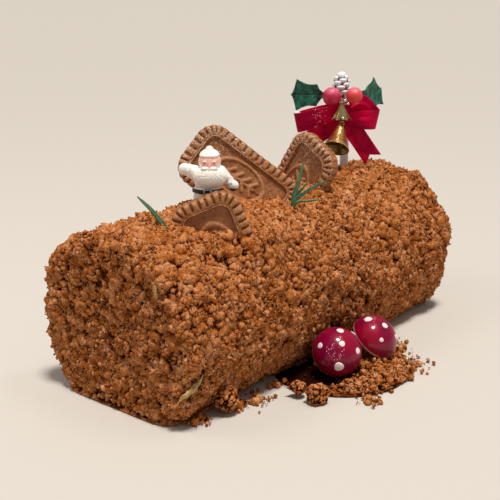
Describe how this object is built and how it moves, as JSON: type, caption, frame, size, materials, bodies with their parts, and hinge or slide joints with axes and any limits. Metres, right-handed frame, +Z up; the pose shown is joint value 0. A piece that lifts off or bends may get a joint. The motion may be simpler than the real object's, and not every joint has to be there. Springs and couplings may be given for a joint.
{
  "type": "yule log cake",
  "caption": "Festive log cake coated in biscuit crumbs, topped with biscuits, a white Father Christmas, rosemary and a holly, bow and bell pick, with red toadstools at its foot.",
  "frame": {"origin": "middle of the log's flat underside, on the surface that the cake stands on", "axes": "+X along the log away from its near end, -Y towards the front side with the toadstools, +Z up"},
  "size_m": [0.22, 0.1364, 0.1319],
  "materials": {
    "cake_crumb": "dry caramel-brown cake and biscuit crumbs, fully matt",
    "biscuit": "milk-brown moulded biscuit with a faint sheen and sugar specks",
    "white_plastic": "warm white moulded plastic, satin",
    "rosemary": "fresh rosemary leaf, satin",
    "stem_plastic": "white plastic, satin",
    "frosted_cone": "white frost over dark grey scales",
    "frosted_berry": "red foam berry with white glitter frost",
    "holly": "dark green printed leaf, satin",
    "ribbon": "crimson satin ribbon with specks of glitter",
    "gilt": "polished gilt",
    "red_lacquer": "deep red high-gloss lacquer with white dots",
    "toadstool_stem": "cream-grey paper pulp, matt"
  },
  "bodies": {
    "root": {"cake_log": "cake_crumb", "crumb_bank": "cake_crumb", "crumb_lump_near": "cake_crumb", "crumb_lump_middle": "cake_crumb", "crumb_lump_front": "cake_crumb", "biscuit_back": "biscuit", "biscuit_front": "biscuit", "biscuit_right": "biscuit", "santa_figure": "white_plastic", "rosemary_leaf": "rosemary", "rosemary_sprig": "rosemary", "pick_stem": "stem_plastic", "pine_cone": "frosted_cone", "berry_left": "frosted_berry", "berry_right": "frosted_berry", "holly_leaf_left": "holly", "holly_leaf_right": "holly", "ribbon_bow": "ribbon", "gilt_cap": "gilt", "bell": "gilt", "toadstool_left_cap": "red_lacquer", "toadstool_right_cap": "red_lacquer", "toadstool_left_stem": "toadstool_stem", "toadstool_right_stem": "toadstool_stem"}
  },
  "joints": []
}
